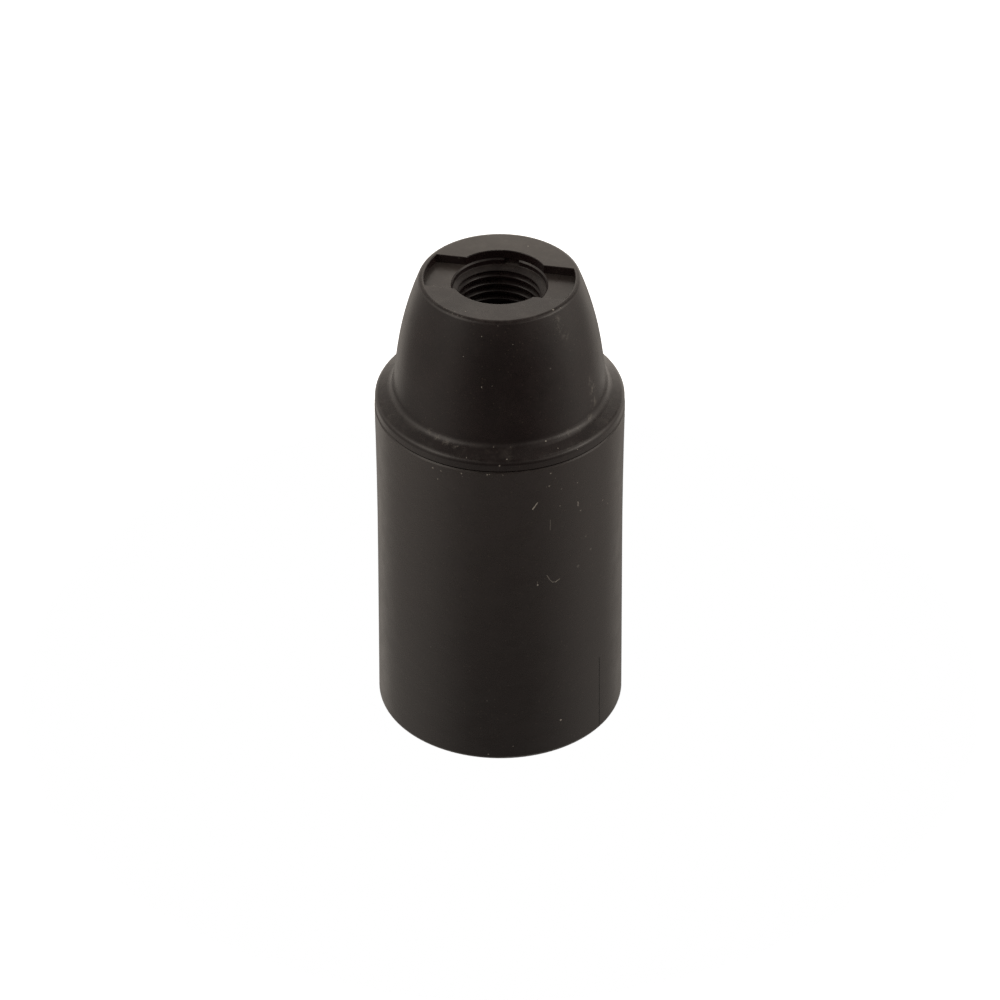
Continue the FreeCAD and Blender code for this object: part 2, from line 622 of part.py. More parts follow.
# ------------------------------------------------- terminals, one each side
def terminal(prefix, half_turn):
    """Plate, clamp washer, screw and rivet of one pole.  They are drawn for
    the live side and placed half a turn round for the neutral side."""
    spot = Placement(Vector(0, 0, 0), Rotation(Vector(0, 0, 1), 180.0 if half_turn else 0.0))
    deck = D["block_deck"]
    plate_top = deck + D["plate_thick"]

    plate = new_body(prefix + "_terminal_plate")
    pk = new_sketch(plate, prefix + "_plate_outline", "XY_Plane", deck)
    half = D["plate_wide"] * 0.5
    outline(pk, [
        (-D["term_across"] - half, D["plate_low_end"]),
        (-D["term_across"] + half, D["plate_low_end"]),
        (-D["term_across"] + half, D["plate_high_end"]),
        (-D["term_across"] - half + 1.4, D["plate_high_end"]),
        (-D["term_across"] - half, D["plate_high_end"] - 1.4),
    ])
    circle(pk, -D["term_across"], D["screw_along"], D["plate_screw_hole"])
    circle(pk, -D["rivet_across"], D["rivet_along"], D["plate_rivet_hole"])
    pad(plate, prefix + "_plate", pk, D["plate_thick"])
    plate.Placement = spot

    washer = new_body(prefix + "_clamp_washer")
    low = plate_top + D["washer_gap"]
    pk = new_sketch(washer, prefix + "_washer_outline", "XY_Plane", low)
    side_half = D["washer_half"]
    outline(pk, [
        (-D["term_across"] - side_half, D["screw_along"] - side_half),
        (-D["term_across"] + side_half, D["screw_along"] - side_half),
        (-D["term_across"] + side_half, D["screw_along"] + side_half),
        (-D["term_across"] - side_half, D["screw_along"] + side_half),
    ])
    circle(pk, -D["term_across"], D["screw_along"], D["washer_hole"])
    blank = pad(washer, prefix + "_washer", pk, D["washer_thick"])
    corners = edges_where(blank.Shape, lambda e: e.BoundBox.ZLength > 0.5
                          and e.BoundBox.XLength < 0.01 and e.BoundBox.YLength < 0.01
                          and abs(e.BoundBox.XMin + D["term_across"].value) > 2.5)
    soften(washer, prefix + "_washer_corners", blank, corners, as_dim(0.5))
    washer.Placement = spot

    screw = new_body(prefix + "_terminal_screw")
    seat = low + D["washer_thick"] + D["washer_gap"]
    pk = new_sketch(screw, prefix + "_screw_section", "XZ_Plane")
    outline(pk, [
        (0.0, seat - D["screw_long"]),
        (D["screw_rad"] - 0.4, seat - D["screw_long"]),
        (D["screw_rad"], seat - D["screw_long"] + 0.4),
        (D["screw_rad"], seat),
        (D["head_rad"], seat),
        (D["head_rad"], seat + D["head_high"] * 0.55),
        (D["head_rad"] - 0.75, seat + D["head_high"]),
        (0.0, seat + D["head_high"]),
    ], {5: (1.15, 1)})
    revolve(screw, prefix + "_screw_turned", pk)
    pk = new_sketch(screw, prefix + "_drive_outline", "XY_Plane",
                    seat + D["head_high"], as_dim(25.0))
    wide = D["drive_wide"] * 0.5
    outline(pk, [
        (-D["head_rad"] - 0.3, -wide),
        (D["head_rad"] + 0.3, -wide),
        (D["head_rad"] + 0.3, wide),
        (-D["head_rad"] - 0.3, wide),
    ])
    cut(screw, prefix + "_drive", pk, D["drive_deep"])
    flip = -1.0 if half_turn else 1.0
    screw.Placement = Placement(Vector(-flip * D["term_across"].value,
                                       flip * D["screw_along"].value, 0), spot.Rotation)

    rivet = new_body(prefix + "_rivet")
    under = ceiling - strip
    pk = new_sketch(rivet, prefix + "_rivet_section", "XZ_Plane")
    outline(pk, [
        (0.0, under - D["rivet_head_high"]),
        (D["rivet_head_rad"] - 0.35, under - D["rivet_head_high"]),
        (D["rivet_head_rad"], under),
        (D["rivet_rad"], under),
        (D["rivet_rad"], plate_top),
        (D["rivet_head_rad"], plate_top),
        (D["rivet_head_rad"] - 0.35, plate_top + D["rivet_head_high"]),
        (0.0, plate_top + D["rivet_head_high"]),
    ])
    revolve(rivet, prefix + "_rivet_turned", pk)
    rivet.Placement = Placement(Vector(-flip * D["rivet_across"].value,
                                       flip * D["rivet_along"].value, 0), spot.Rotation)
    return [plate, washer, screw, rivet]


pieces = [cap, shell, block, centre, side]
pieces += terminal("live", False)
pieces += terminal("neutral", True)

doc.recompute()

# -------------------------------------------------------------------- checks
bad = [o.Name for o in doc.Objects if "Invalid" in o.State or "Error" in o.State]
if bad:
    raise RuntimeError("failed objects: %s" % ", ".join(bad))
for piece in pieces:
    shape = piece.Shape
    if shape.isNull() or not shape.isValid() or len(shape.Solids) != 1:
        raise RuntimeError("%s is not one valid solid" % piece.Label)

os.makedirs("parts", exist_ok=True)
for piece in pieces:
    piece.Shape.exportStep(os.path.join("parts", piece.Label + ".step"))
    box = piece.Shape.BoundBox
    print("%-24s %9.2f mm3  x %7.2f %7.2f  y %7.2f %7.2f  z %7.2f %7.2f" % (
        piece.Label, piece.Shape.Volume, box.XMin, box.XMax, box.YMin, box.YMax,
        box.ZMin, box.ZMax))
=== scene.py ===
"""Looks of the lamp holder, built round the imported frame.

Everything is in metres in the frame's own axes.  The CAD nodes keep their
vertices; this script gives them their finishes and adds the fine threads that
the solids leave plain: M10 x 1 in the cord entry, the coarse thread between
cap and shell, and M3 on the two terminal screws.
"""
import json
import math

import bmesh
import bpy
from mathutils import Matrix, Vector

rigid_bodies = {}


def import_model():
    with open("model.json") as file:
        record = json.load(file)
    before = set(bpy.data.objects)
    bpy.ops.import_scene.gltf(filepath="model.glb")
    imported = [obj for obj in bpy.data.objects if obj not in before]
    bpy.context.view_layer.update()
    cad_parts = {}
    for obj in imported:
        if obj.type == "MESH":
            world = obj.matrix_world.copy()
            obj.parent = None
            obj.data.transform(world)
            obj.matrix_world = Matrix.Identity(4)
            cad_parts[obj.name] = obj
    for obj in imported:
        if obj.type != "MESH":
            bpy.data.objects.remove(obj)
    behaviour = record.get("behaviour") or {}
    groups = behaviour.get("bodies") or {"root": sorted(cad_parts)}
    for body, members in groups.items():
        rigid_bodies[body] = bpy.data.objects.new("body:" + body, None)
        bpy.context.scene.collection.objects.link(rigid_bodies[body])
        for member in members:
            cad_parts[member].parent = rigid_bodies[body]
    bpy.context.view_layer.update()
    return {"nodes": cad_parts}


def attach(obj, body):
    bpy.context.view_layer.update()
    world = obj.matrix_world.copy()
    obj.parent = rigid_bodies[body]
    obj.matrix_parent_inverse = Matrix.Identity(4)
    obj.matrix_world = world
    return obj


for old in list(bpy.data.objects):
    bpy.data.objects.remove(old, do_unlink=True)

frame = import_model()
NODES = frame["nodes"]
MM = 0.001


# ------------------------------------------------------------------- meshes
def mesh_object(name, verts, faces, sharp=34.0):
    """Closed mesh from millimetres, normals outwards, creases where it bends."""
    bm = bmesh.new()
    made = [bm.verts.new((x * MM, y * MM, z * MM)) for x, y, z in verts]
    for face in faces:
        ring = []
        for i in face:
            if not ring or made[i] is not ring[-1]:
                ring.append(made[i])
        if len(ring) > 1 and ring[0] is ring[-1]:
            ring.pop()
        if len(set(ring)) < 3:
            continue
        try:
            bm.faces.new(ring)
        except ValueError:
            pass
    loose = [v for v in bm.verts if not v.link_faces]
    bmesh.ops.delete(bm, geom=loose, context="VERTS")
    bmesh.ops.recalc_face_normals(bm, faces=bm.faces)
    mesh = bpy.data.meshes.new(name)
    bm.to_mesh(mesh)
    bm.free()
    obj = bpy.data.objects.new(name, mesh)
    bpy.context.scene.collection.objects.link(obj)
    crease(mesh, sharp)
    return obj


def crease(mesh, degrees):
    mesh.shade_smooth()
    mesh.set_sharp_from_angle(angle=math.radians(degrees))


def carve(obj, cutters, sharp=34.0):
    """Takes the cutters out of obj for good and deletes them."""
    for cutter in cutters:
        mod = obj.modifiers.new("carve", "BOOLEAN")
        mod.operation = "DIFFERENCE"
        mod.solver = "EXACT"
        mod.object = cutter
    bpy.context.view_layer.update()
    graph = bpy.context.evaluated_depsgraph_get()
    mesh = bpy.data.meshes.new_from_object(obj.evaluated_get(graph))
    obj.modifiers.clear()
    old = obj.data
    obj.data = mesh
    bpy.data.meshes.remove(old)
    for cutter in cutters:
        bpy.data.objects.remove(cutter, do_unlink=True)
    bm = bmesh.new()
    bm.from_mesh(mesh)
    bmesh.ops.remove_doubles(bm, verts=bm.verts, dist=2e-7)
    bmesh.ops.dissolve_degenerate(bm, edges=bm.edges, dist=1e-7)
    bmesh.ops.triangulate(bm, faces=[f for f in bm.faces if len(f.verts) > 4])
    bm.to_mesh(mesh)
    bm.free()
    crease(mesh, sharp)
    return obj


def frustum(name, r_low, z_low, r_high, z_high, sides=144):
    verts, faces = [], []
    for z, r in ((z_low, r_low), (z_high, r_high)):
        for j in range(sides):
            a = 2 * math.pi * j / sides
            verts.append((r * math.cos(a), r * math.sin(a), z))
    for j in range(sides):
        k = (j + 1) % sides
        faces.append((j, k, sides + k, sides + j))
    faces.append(tuple(range(sides)))
    faces.append(tuple(sides + j for j in range(sides)))
    return mesh_object(name, verts, faces)


def thread_sleeve(name, pitch, profile, z_low, z_high, r_out, sides=160):
    """Internal thread as a closed sleeve.  profile is one pitch of the cut as
    (height in the pitch, radius) rows; the rows follow the right-hand helix."""
    per = len(profile)
    turns = int(math.ceil((z_high - z_low) / pitch)) + 2
    rows = [(z_low - pitch + (t + h) * pitch, r) for t in range(turns) for h, r in profile]

    def radius_at(phase):
        phase = phase % 1.0
        for i in range(per):
            h0, r0 = profile[i]
            h1, r1 = profile[i + 1] if i + 1 < per else (profile[0][0] + 1.0, profile[0][1])
            if h0 <= phase <= h1:
                return r0 + (r1 - r0) * (phase - h0) / max(h1 - h0, 1e-9)
        return profile[0][1]

    verts, index = [], {}
    for j in range(sides):
        a = 2 * math.pi * j / sides
        for z, label in ((z_low, "low"), (z_high, "high")):
            r = radius_at((z - z_low) / pitch - j / float(sides))
            index[(j, label)] = len(verts)
            verts.append((r * math.cos(a), r * math.sin(a), z))
        for k, (zr, r) in enumerate(rows):
            z = zr + pitch * j / float(sides)
            if z <= z_low + 1e-6:
                index[(j, k)] = index[(j, "low")]
            elif z >= z_high - 1e-6:
                index[(j, k)] = index[(j, "high")]
            else:
                index[(j, k)] = len(verts)
                verts.append((r * math.cos(a), r * math.sin(a), z))
        for z, label in ((z_low, "out_low"), (z_high, "out_high")):
            index[(j, label)] = len(verts)
            verts.append((r_out * math.cos(a), r_out * math.sin(a), z))
    faces = []
    for j in range(sides):
        n = (j + 1) % sides
        shift = per if n == 0 else 0
        for k in range(len(rows) - 1):
            a, b = index[(j, k)], index[(j, k + 1)]
            if k + 1 + shift < len(rows):
                c, d = index[(n, k + 1 + shift)], index[(n, k + shift)]
            elif k + shift < len(rows):
                c, d = index[(n, "high")], index[(n, k + shift)]
            else:
                c = d = index[(n, "high")]
            faces.append((a, b, c, d))
        faces.append((index[(j, "high")], index[(n, "high")], index[(n, "out_high")], index[(j, "out_high")]))
        faces.append((index[(j, "out_high")], index[(n, "out_high")], index[(n, "out_low")], index[(j, "out_low")]))
        faces.append((index[(j, "out_low")], index[(n, "out_low")], index[(n, "low")], index[(j, "low")]))
    return mesh_object(name, verts, faces)


def thread_rib(name, centre, pitch, section, z_start, turns, fade=0.12, start=0.0, sides=96):
    """Right-hand helical rib.  section is (height, radius) points; its first
    and last points lie inside the wall, and both ends of the rib sink into it."""
    root = section[0][1]
    steps = int(round(turns * sides))
    verts, faces = [], []
    n = len(section)
    for i in range(steps + 1):
        turn = i / float(sides)
        a = start + 2 * math.pi * turn
        grow = min(1.0, turn / fade, (turns - turn) / fade)
        grow = max(0.0, grow)
        grow = grow * grow * (3 - 2 * grow)
        for h, r in section:
            r = root + (r - root) * grow
            verts.append((centre[0] + r * math.cos(a), centre[1] + r * math.sin(a),
                          z_start + pitch * turn + h * (0.35 + 0.65 * grow)))
    for i in range(steps):
        for k in range(n):
            m = (k + 1) % n
            faces.append((i * n + k, i * n + m, (i + 1) * n + m, (i + 1) * n + k))
    faces.append(tuple(range(n)))
    faces.append(tuple(steps * n + k for k in range(n)))
    return mesh_object(name, verts, faces, sharp=50.0)


# M10 x 1 in the cord entry: minor radius 4.457, root just inside the bore
entry_profile = [(0.000, 4.457), (0.125, 4.460), (0.155, 4.480), (0.200, 4.554),
                 (0.300, 4.727), (0.400, 4.900), (0.438, 4.962), (0.500, 4.975),
                 (0.562, 4.962), (0.600, 4.900), (0.700, 4.727), (0.800, 4.554),
                 (0.845, 4.480), (0.875, 4.460)]
entry_thread = thread_sleeve("entry_thread", 1.0, entry_profile, 46.2, 54.70, 5.34)
carve(entry_thread, [frustum("lead_in", 4.38, 54.238, 5.35, 54.798)])
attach(entry_thread, "cap")

# coarse thread between cap and shell, 2 mm pitch
cap_thread = thread_rib("cap_thread", (0, 0), 2.0,
                        [(-0.52, 11.84), (-0.42, 11.95), (-0.26, 12.22), (-0.14, 12.31), (0.0, 12.33),
                         (0.14, 12.31), (0.26, 12.22), (0.42, 11.95), (0.52, 11.84)],
                        32.75, 3.15)
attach(cap_thread, "cap")
shell_thread = thread_rib("shell_thread", (0, 0), 2.0,
                          [(-0.52, 12.46), (-0.42, 12.35), (-0.26, 12.10), (-0.14, 12.02), (0.0, 12.00),
                           (0.14, 12.02), (0.26, 12.10), (0.42, 12.35), (0.52, 12.46)],
                          31.75, 3.3)
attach(shell_thread, "shell")

# M3 on the terminal screws
for side, sx in (("live", -1.0), ("neutral", 1.0)):
    m3 = thread_rib(side + "_screw_thread", (sx * 5.0, sx * 2.4), 0.5,
                    [(-0.17, 1.43), (-0.05, 1.53), (0.05, 1.53), (0.17, 1.43)],
                    30.5, 9.6, fade=0.5, sides=28)
    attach(m3, side + "_screw")


# ---------------------------------------------------------------- materials
class Shader(object):
    """Small helper round one material's nodes."""

    def __init__(self, name):
        self.mat = bpy.data.materials.new(name)
        self.mat.use_nodes = True
        self.tree = self.mat.node_tree
        self.tree.nodes.clear()
        self.out = self.add("ShaderNodeOutputMaterial")
        self.bsdf = self.add("ShaderNodeBsdfPrincipled")
        self.link(self.bsdf.outputs[0], self.out.inputs[0])
        self.place = self.add("ShaderNodeTexCoord").outputs["Object"]

    def add(self, kind, **props):
        node = self.tree.nodes.new(kind)
        for key, value in props.items():
            setattr(node, key, value)
        return node

    def link(self, a, b):
        self.tree.links.new(a, b)

    def put(self, node, key, value):
        socket = node.inputs[key]
        if hasattr(value, "is_output") or isinstance(value, bpy.types.NodeSocket):
            self.link(value, socket)
        else:
            socket.default_value = value

    def math(self, op, a, b=0.0, c=None, clamp=False):
        node = self.add("ShaderNodeMath", operation=op, use_clamp=clamp)
        self.put(node, 0, a)
        self.put(node, 1, b)
        if c is not None:
            self.put(node, 2, c)
        return node.outputs[0]

    def vec(self, op, a, b=None, scale=None):
        node = self.add("ShaderNodeVectorMath", operation=op)
        self.put(node, 0, a)
        if b is not None:
            self.put(node, 1, b)
        if scale is not None:
            self.put(node, "Scale", scale)
        return node.outputs["Value"] if op in ("DOT_PRODUCT", "DISTANCE", "LENGTH") else node.outputs[0]

    def noise(self, scale, detail=3.0, rough=0.5, where=None, distort=0.0):
        node = self.add("ShaderNodeTexNoise")
        self.put(node, "Vector", where or self.place)
        self.put(node, "Scale", scale)
        self.put(node, "Detail", detail)
        self.put(node, "Roughness", rough)
        self.put(node, "Distortion", distort)
        return node.outputs[0]

    def ramp(self, value, low, high, to_low=0.0, to_high=1.0, kind="SMOOTHSTEP"):
        node = self.add("ShaderNodeMapRange", interpolation_type=kind)
        self.put(node, "Value", value)
        self.put(node, "From Min", low)
        self.put(node, "From Max", high)
        self.put(node, "To Min", to_low)
        self.put(node, "To Max", to_high)
        return node.outputs[0]

    def mix(self, factor, a, b, blend="MIX"):
        node = self.add("ShaderNodeMix", data_type="RGBA", blend_type=blend)
        node.clamp_factor = True
        self.put(node, 0, factor)
        for i, value in ((6, a), (7, b)):
            if not isinstance(value, bpy.types.NodeSocket):
                value = (value[0], value[1], value[2], 1.0)
            self.put(node, i, value)
        return node.outputs[2]

    def bump(self, height, distance, strength=1.0, normal=None):
        node = self.add("ShaderNodeBump")
        self.put(node, "Height", height)
        self.put(node, "Distance", distance)
        self.put(node, "Strength", strength)
        if normal is not None:
            self.link(normal, node.inputs["Normal"])
        return node.outputs[0]

    def near(self, point, radius, where=None):
        """1 within radius (in mm) of a point, soft at its edge."""
        d = self.vec("DISTANCE", where or self.place, tuple(c * MM for c in point))
        return self.ramp(d, radius * MM * 1.25, radius * MM * 0.6)

    def strand(self, a, b, radius, where=None):
        """1 within radius (in mm) of the straight line from a to b."""
        a, b = Vector(a) * MM, Vector(b) * MM
        run = b - a
        rel = self.vec("SUBTRACT", where or self.place, tuple(a))
        along = self.math("DIVIDE", self.vec("DOT_PRODUCT", rel, tuple(run)), run.length_squared, clamp=True)
        foot = self.add("ShaderNodeVectorMath", operation="SCALE")
        foot.inputs[0].default_value = tuple(run)
        self.link(along, foot.inputs["Scale"])
        d = self.vec("DISTANCE", rel, foot.outputs[0])
        return self.ramp(d, radius * MM * 1.3, radius * MM * 0.6)


# dust and lint that lies on the moulding, and pale specks along the top face's front edge: (point in mm, radius in
# mm, weight)
CAP_SPECKS = [
    ((-0.19, -9.02, 55.99), 0.05, 0.6), ((-1.96, -9.26, 54.78), 0.06, 0.8),
    ((1.39, -9.64, 53.97), 0.06, 0.5),
    ((-3.94, -9.45, 52.3), 0.05, 0.7), ((-1.97, -10.79, 49.2), 0.07, 0.9),
    ((-0.82, -10.9, 49.39), 0.05, 0.6), ((-4.86, -6.76, 56.4), 0.06, 0.9),
    ((-3.72, -6.77, 56.4), 0.07, 1), ((-5.75, -6.27, 56.4), 0.05, 0.6),
    ((-6.1, -6.09, 56.38), 0.05, 0.5),
    ((-5.13, -7.12, 56.33), 0.05, 0.6), ((-4.6, -7.45, 56.34), 0.05, 0.7),
    ((-4.08, -7.77, 56.33), 0.05, 0.6),
    ((5.82, -6.43, 56.37), 0.11, 1),
    ((3.15, 6.14, 56.4), 0.09, 0.9), ((-7.2, -0.19, 55.4), 0.06, 0.6),
    ((-6.97, -0.03, 55.4), 0.05, 0.4),
    ((6.37, -11.57, 41.57), 0.07, 0.9),
    ((7.44, -11.4, 41.38), 0.05, 0.7), ((8.51, -10.96, 41), 0.06, 0.8),
    ((5.04, -11.05, 42.17), 0.08, 0.9), ((0.75, -13.47, 41.44), 0.09, 0.7),
    ((-0.05, -13.9, 40.88), 0.09, 0.8), ((-0.69, -12.13, 42.16), 0.06, 0.6),
    ((1.18, -12.11, 42.14), 0.05, 0.5), ((-3.66, -13.07, 41.4), 0.06, 0.8),
    ((-4.59, -11.56, 41.92), 0.06, 0.6),
]
# pale rubbed patches on the dome, and painted highlights on the dome-foot fillet, broken up by the grain: (point in
# mm, radius in mm, weight)
CAP_RUBS_AND_HIGHLIGHTS = [
    # rubbed patches on the dome's right near its foot
    ((9.91, -5.63, 46.54), 0.9, 0.22), ((10.25, -5.42, 45.07), 1.1, 0.28), ((10.37, -5.6, 43.6), 1.1, 0.32),
    # painted highlights on the dome-foot fillet, right side then left
    ((9.92, -6.85, 42.31), 0.8, 0.3), ((8.58, -8.58, 42.18), 0.6, 0.3), ((7.47, -9.55, 42.19), 0.6, 0.3),
    ((-7.66, -9.36, 42.23), 0.6, 0.3), ((-6.89, -10.1, 42.08), 0.6, 0.34),
    ((-5.9, -10.88, 41.96), 0.6, 0.34), ((-4.91, -11.52, 41.87), 0.5, 0.24),
    # rubbed patches high on the dome's right
    ((6.23, -6.87, 55.31), 0.8, 0.22), ((6.56, -7.02, 54.36), 0.9, 0.22), ((7.11, -6.92, 53.2), 0.8, 0.16),
]
SHELL_SPECKS = [
    ((-7.36, -11.84, 39.18), 0.1, 0.9), ((-6.48, -12.34, 39.11), 0.08, 0.6),
    ((-6.84, -12.13, 37.88), 0.08, 0.5), ((-4.22, -13.29, 39.43), 0.09, 0.8),
    ((-4.1, -13.33, 39.06), 0.05, 0.5), ((-1.39, -13.88, 39.68), 0.08, 0.9),
    ((-1.14, -13.9, 39.72), 0.06, 0.7), ((0.31, -13.94, 39.67), 0.06, 0.7),
    ((5.56, -12.78, 39.04), 0.08, 0.9), ((6.09, -12.53, 38.24), 0.05, 0.5),
    ((5.42, -12.82, 37.39), 0.1, 0.5), ((5.1, -12.95, 37.35), 0.05, 0.3),
    ((6.78, -12.14, 36.51), 0.08, 0.5), ((8.54, -10.98, 36.53), 0.09, 0.45),
    ((8.91, -10.62, 32.47), 0.12, 0.4), ((11.96, -6.99, 30.81), 0.1, 0.4),
    ((11.4, -7.88, 31.89), 0.12, 0.35), ((4.17, -13.2, 24.13), 0.1, 1),
    ((6.84, -12.17, 4.28), 0.12, 1), ((-1.51, -13.85, 8.37), 0.05, 0.6),
    ((1.42, -13.91, 1.87), 0.05, 0.7), ((-1.39, -13.92, 0.74), 0.07, 0.7),
    ((10.08, -9.48, 26.36), 0.15, 0.2), ((8.67, -10.78, 24.94), 0.2, 0.16),
    ((9.52, -10.05, 28.52), 0.14, 0.16),
    ((-11.98, -7.14, 39.22), 0.06, 0.6),
]
SHELL_STRANDS = [
    ((4.11, -13.27, 35.45), (3.82, -13.35, 35), 0.055, 1),
    ((3.82, -13.35, 35), (3.61, -13.41, 34.68), 0.075, 1),
    ((5.18, -12.84, 25.21), (5.47, -12.71, 24.58), 0.045, 0.45),
    ((5.47, -12.71, 24.58), (5.79, -12.57, 24.1), 0.045, 0.35),
    ((5.79, -12.57, 24.1), (6.15, -12.4, 23.98), 0.05, 0.45),
    ((6.15, -12.4, 23.98), (6.63, -12.15, 24.21), 0.055, 0.6),
    ((4.11, -13.21, 24.64), (4.17, -13.2, 24.14), 0.04, 0.3),
    ((8.61, -10.89, 33.83), (8.62, -10.87, 33.33), 0.09, 0.5),
    ((5.55, -12.71, 32.7), (5.54, -12.7, 31.33), 0.05, 0.22),
]
SCRATCH = ((11.21, -8.27, 10.2), (11.29, -8.26, 0.58), 0.06)


def moulding(name, specks=(), strands=(), rubs_and_highlights=(), scratch=None, skirt_sheen=False, grain=1.0, dust_and_sheen=1.0):
    """Brown-black thermoset with a low sheen, lightly handled; painted sheen and painted highlights go into its
    colour too.
    """
    s = Shader(name)
    up = s.add("ShaderNodeSeparateXYZ")
    s.link(s.add("ShaderNodeNewGeometry").outputs["Normal"], up.inputs[0])
    facing_up = s.ramp(up.outputs[2], 0.25, 0.95)

    cloud = s.noise(260.0, 4.0, 0.6)
    fine = s.noise(2600.0, 3.0, 0.6)
    tone = s.math("ADD", s.math("MULTIPLY", cloud, 0.6), s.math("MULTIPLY", fine, 0.4))
    base = s.mix(s.ramp(tone, 0.38, 0.62), (0.0105, 0.0060, 0.0062), (0.0165, 0.0098, 0.0100))

    # painted sheen: the skirt's colour is painted darker towards the mouth and paler towards the seam
    spot = s.add("ShaderNodeSeparateXYZ")
    s.link(s.place, spot.inputs[0])
    if skirt_sheen:
        painted_sheen_ramp = s.ramp(spot.outputs[2], 0.0, 0.040, 0.0, 1.0, kind="LINEAR")
        base = s.mix(painted_sheen_ramp, s.mix(0.75, base, (0.0030, 0.0004, 0.0008)), s.mix(0.55, base, (0.034, 0.027, 0.026)))

    # fine filler specks of the compound
    cells = s.add("ShaderNodeTexVoronoi", feature="F1")
    s.put(cells, "Vector", s.place)
    s.put(cells, "Scale", 3200.0)
    pick = s.add("ShaderNodeSeparateColor")
    s.link(cells.outputs["Color"], pick.inputs[0])
    flake = s.math("MULTIPLY", s.ramp(cells.outputs["Distance"], 0.34, 0.16), s.ramp(pick.outputs[0], 0.86, 0.93))
    base = s.mix(s.math("MULTIPLY", flake, 0.35), base, (0.075, 0.060, 0.045))

    # settled dust: sparse motes, more of them on what faces up
    motes = s.add("ShaderNodeTexVoronoi", feature="F1")
    s.put(motes, "Vector", s.place)
    s.put(motes, "Scale", 900.0)
    chance = s.add("ShaderNodeSeparateColor")
    s.link(motes.outputs["Color"], chance.inputs[0])
    size = s.ramp(chance.outputs[1], 0.0, 1.0, 0.03, 0.11, kind="LINEAR")
    lit = s.ramp(s.math("SUBTRACT", motes.outputs["Distance"], size), 0.02, -0.02)
    seldom = s.ramp(chance.outputs[0], 0.90, 0.93)
    mote = s.math("MULTIPLY", s.math("MULTIPLY", lit, seldom), s.ramp(facing_up, 0.0, 1.0, 0.25, 0.9, kind="LINEAR"))
    dust_film_and_sheen = s.math("MULTIPLY", s.math("MULTIPLY", facing_up, s.ramp(s.noise(700.0, 6.0, 0.7), 0.45, 0.75)), 0.08)
    # painted sheen: up-facing faces behind the entry are painted paler, on top of the dust film
    behind = s.math("MULTIPLY", s.ramp(spot.outputs[1], -0.004, 0.008, kind="LINEAR"), s.ramp(up.outputs[2], 0.90, 0.99))
    dust_film_and_sheen = s.math("ADD", dust_film_and_sheen, s.math("MULTIPLY", behind, 0.14))
    total = s.math("MULTIPLY", s.math("MAXIMUM", mote, dust_film_and_sheen), dust_and_sheen)

    wobble = s.add("ShaderNodeVectorMath", operation="SCALE")
    shaken = s.add("ShaderNodeTexNoise")
    s.put(shaken, "Vector", s.place)
    s.put(shaken, "Scale", 4200.0)
    s.put(shaken, "Detail", 2.0)
    centred = s.vec("SUBTRACT", shaken.outputs["Color"], (0.5, 0.5, 0.5))
    s.link(centred, wobble.inputs[0])
    wobble.inputs["Scale"].default_value = 0.00012
    ragged = s.vec("ADD", s.place, wobble.outputs[0])
    for point, radius, weight in specks:
        total = s.math("MAXIMUM", total, s.math("MULTIPLY", s.near(point, radius, ragged), weight))
    for a, b, radius, weight in strands:
        total = s.math("MAXIMUM", total, s.math("MULTIPLY", s.strand(a, b, radius, ragged), weight))
    # pale rubbed patches and painted fillet highlights, mixed in with the pale marks
    if rubs_and_highlights:
        rub_and_highlight_patch = None
        for point, radius, weight in rubs_and_highlights:
            d = s.vec("DISTANCE", s.place, tuple(c * MM for c in point))
            one = s.ramp(d, radius * MM, 0.0, 0.0, weight)
            rub_and_highlight_patch = one if rub_and_highlight_patch is None else s.math("MAXIMUM", rub_and_highlight_patch, one)
        broken = s.ramp(s.noise(2300.0, 5.0, 0.65), 0.44, 0.62)
        total = s.math("MAXIMUM", total, s.math("MULTIPLY", rub_and_highlight_patch, broken))
    colour = s.mix(total, base, (0.36, 0.335, 0.30))

    rough = s.ramp(s.noise(420.0, 5.0, 0.65), 0.30, 0.70, ROUGH - 0.05, ROUGH + 0.06, kind="LINEAR")
    rough = s.math("ADD", rough, s.math("MULTIPLY", total, 0.35), clamp=True)
    s.bsdf.inputs["IOR"].default_value = 1.50

    skin = s.bump(s.noise(5200.0, 4.0, 0.6), 0.000006 * grain)
    flow = s.bump(s.noise(520.0, 3.0, 0.5), 0.000016 * grain, normal=skin)
    if scratch:
        cut = s.strand(*scratch)
        colour = s.mix(cut, colour, (0.001, 0.001, 0.001))
        rough = s.math("ADD", rough, s.math("MULTIPLY", cut, 0.6), clamp=True)
        flow = s.bump(s.math("MULTIPLY", cut, -1.0), 0.00006, normal=flow)
    s.put(s.bsdf, "Base Color", colour)
    s.put(s.bsdf, "Roughness", rough)
    s.link(flow, s.bsdf.inputs["Normal"])
    return s.mat


def metal(name, colour, dull, rough, brushed=None, tarnish=0.5):
    s = Shader(name)
    cloud = s.noise(330.0, 5.0, 0.65)
    spots = s.noise(1500.0, 4.0, 0.7)
    wear = s.math("MULTIPLY", s.ramp(cloud, 0.42, 0.68), s.ramp(spots, 0.35, 0.7), clamp=True)
    s.put(s.bsdf, "Base Color", s.mix(s.math("MULTIPLY", wear, tarnish), colour, dull))
    s.bsdf.inputs["Metallic"].default_value = 1.0
    s.put(s.bsdf, "Roughness", s.ramp(wear, 0.0, 1.0, rough, rough + 0.18, kind="LINEAR"))
    grain = s.add("ShaderNodeMapping")
    s.link(s.place, grain.inputs["Vector"])
    grain.inputs["Scale"].default_value = brushed or (1.0, 1.0, 1.0)
    lines = s.noise(3600.0, 3.0, 0.6, where=grain.outputs[0])
    s.link(s.bump(lines, 0.000005), s.bsdf.inputs["Normal"])
    return s.mat


